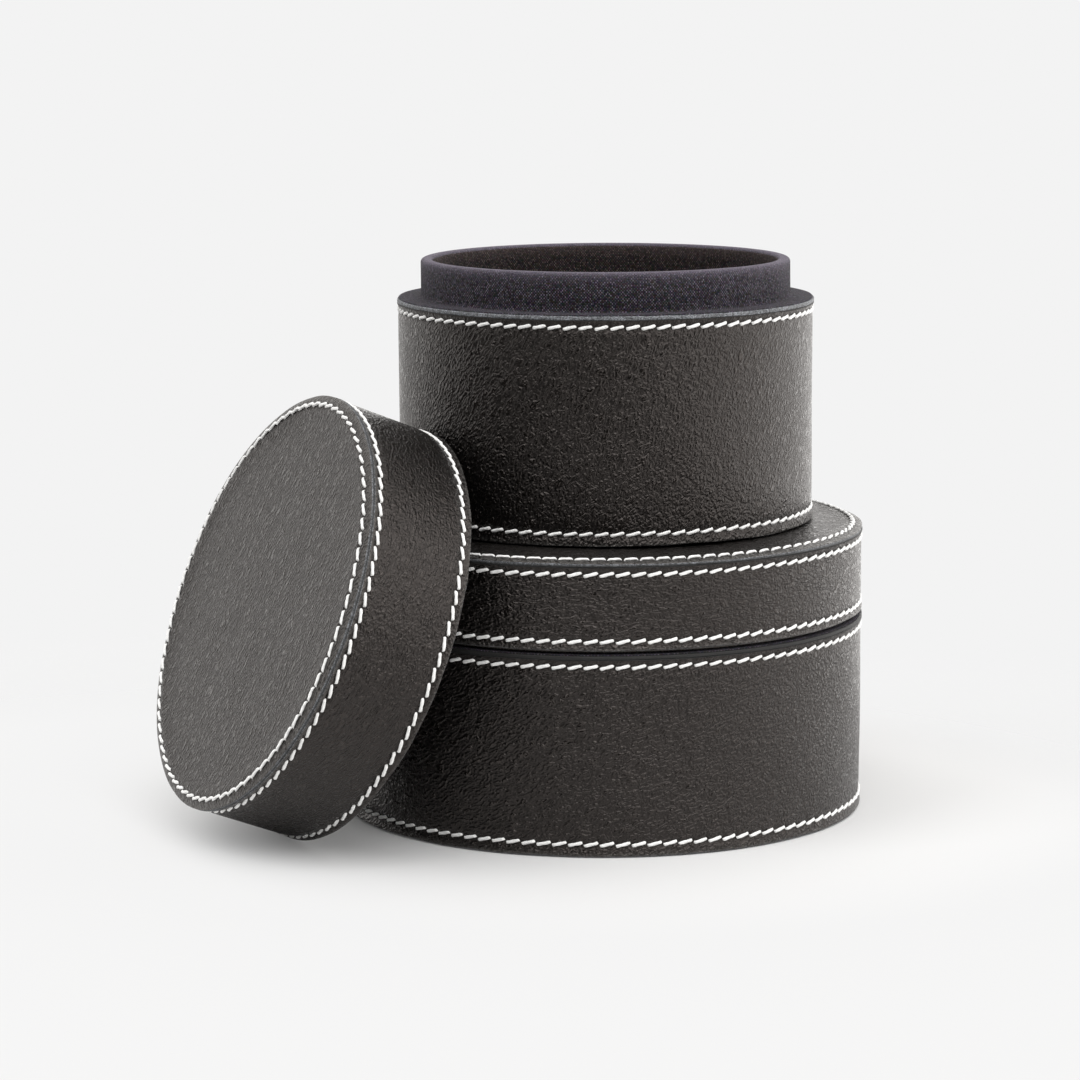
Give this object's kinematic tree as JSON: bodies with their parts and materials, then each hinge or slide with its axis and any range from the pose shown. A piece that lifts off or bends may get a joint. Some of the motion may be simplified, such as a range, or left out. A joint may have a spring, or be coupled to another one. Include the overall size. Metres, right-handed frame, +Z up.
{
  "type": "collar boxes",
  "caption": "Round leather-covered collar boxes with stitched edges: one closed, one standing open on its lid, its own lid leaning beside.",
  "frame": {"origin": "on the floor under the middle of the large box, in its underside's plane", "axes": "+Z up along the boxes, -Y the front that faces the viewer, +X to the viewer's right; the small lid leans on the -X side"},
  "size_m": [0.2581, 0.228, 0.1997],
  "materials": {
    "black_leather": "black pebbled full grain, low sheen",
    "charcoal_canvas": "charcoal plain-weave canvas",
    "grey_board": "plain grey board",
    "white_thread": "white waxed thread"
  },
  "bodies": {
    "large_body": {"large_base_cover": "black_leather", "large_body_core": "grey_board", "large_base_board": "grey_board", "large_base_lining": "charcoal_canvas", "large_collar_board": "grey_board", "large_collar_cloth": "charcoal_canvas", "large_shoulder_leather": "black_leather", "large_body_leather": "black_leather"},
    "large_lid": {"large_lid_core": "grey_board", "large_lid_board": "grey_board", "large_lid_lining_band": "charcoal_canvas", "large_lid_lining_disc": "charcoal_canvas", "large_lid_band": "black_leather", "large_lid_top": "black_leather"},
    "small_body": {"small_base_cover": "black_leather", "small_body_core": "grey_board", "small_base_board": "grey_board", "small_base_lining": "charcoal_canvas", "small_collar_board": "grey_board", "small_collar_cloth": "charcoal_canvas", "small_shoulder_leather": "black_leather", "small_body_leather": "black_leather"},
    "small_lid": {"small_lid_core": "grey_board", "small_lid_board": "grey_board", "small_lid_lining_band": "charcoal_canvas", "small_lid_lining_disc": "charcoal_canvas", "small_lid_band": "black_leather", "small_lid_top": "black_leather"}
  },
  "joints": [
    {"name": "large_lid_lift", "type": "slide", "parent": "large_body", "child": "large_lid", "axis": [0, 0, 1], "range_m": [0, 0.06]},
    {"name": "small_box_lift", "type": "slide", "parent": "large_lid", "child": "small_body", "axis": [0, 0, 1], "range_m": [0, 0.06]},
    {"name": "small_lid_slide", "type": "slide", "parent": "large_lid", "child": "small_lid", "axis": [-0.8376, -0.3977, 0.3746], "range_m": [0, 0.06]}
  ]
}
